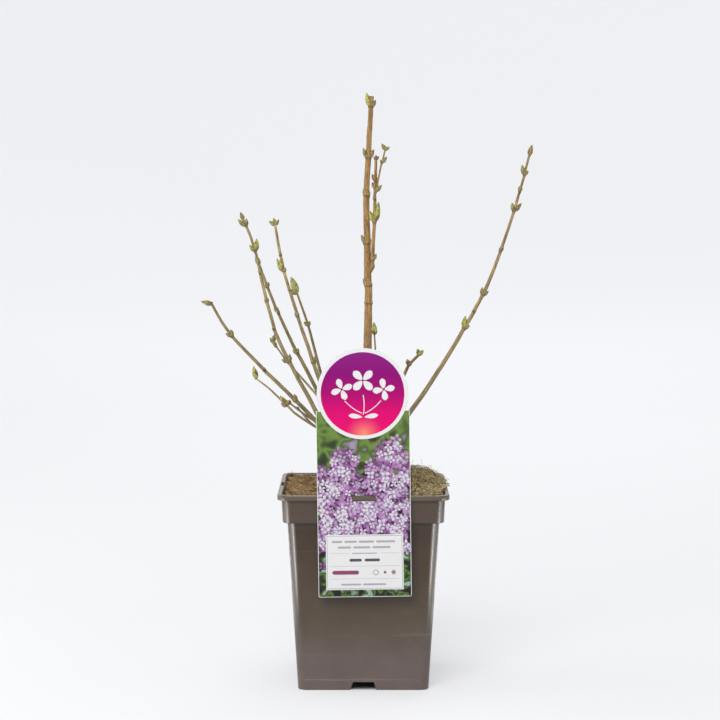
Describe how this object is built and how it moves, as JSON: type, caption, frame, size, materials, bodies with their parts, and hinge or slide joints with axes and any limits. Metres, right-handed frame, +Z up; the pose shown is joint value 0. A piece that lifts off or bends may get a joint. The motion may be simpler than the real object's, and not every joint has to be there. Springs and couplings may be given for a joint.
{
  "type": "potted lilac bush",
  "caption": "Young bare lilac bush with breaking buds on upright stems, standing in a square nursery pot with a hang label.",
  "frame": {"origin": "middle of the pot's flat underside, on the plane that it stands on", "axes": "+Z up along the trunk, +X to the right and -Y to the front, the side that the hang label hangs on"},
  "size_m": [0.3564, 0.204, 0.6303],
  "materials": {
    "pot": "taupe injection-moulded polypropylene, satin",
    "root_ball": "moist coir and peat fibre, matt",
    "hang_label": "printed plastic card, satin",
    "bark": "tan-brown bark",
    "twigs": "thin bark and olive bud scales"
  },
  "bodies": {
    "root": {"pot": "pot", "root_ball": "root_ball", "hang_label": "hang_label", "trunk": "bark", "bough_left_low": "bark", "bough_left_middle": "bark", "bough_left_high": "bark", "bough_right": "bark", "twigs_left_low": "twigs", "twigs_left_middle": "twigs", "twigs_left_high": "twigs", "twigs_right": "twigs", "twigs_right_low": "twigs", "twigs_top": "twigs", "twigs_inner": "twigs"}
  },
  "joints": []
}
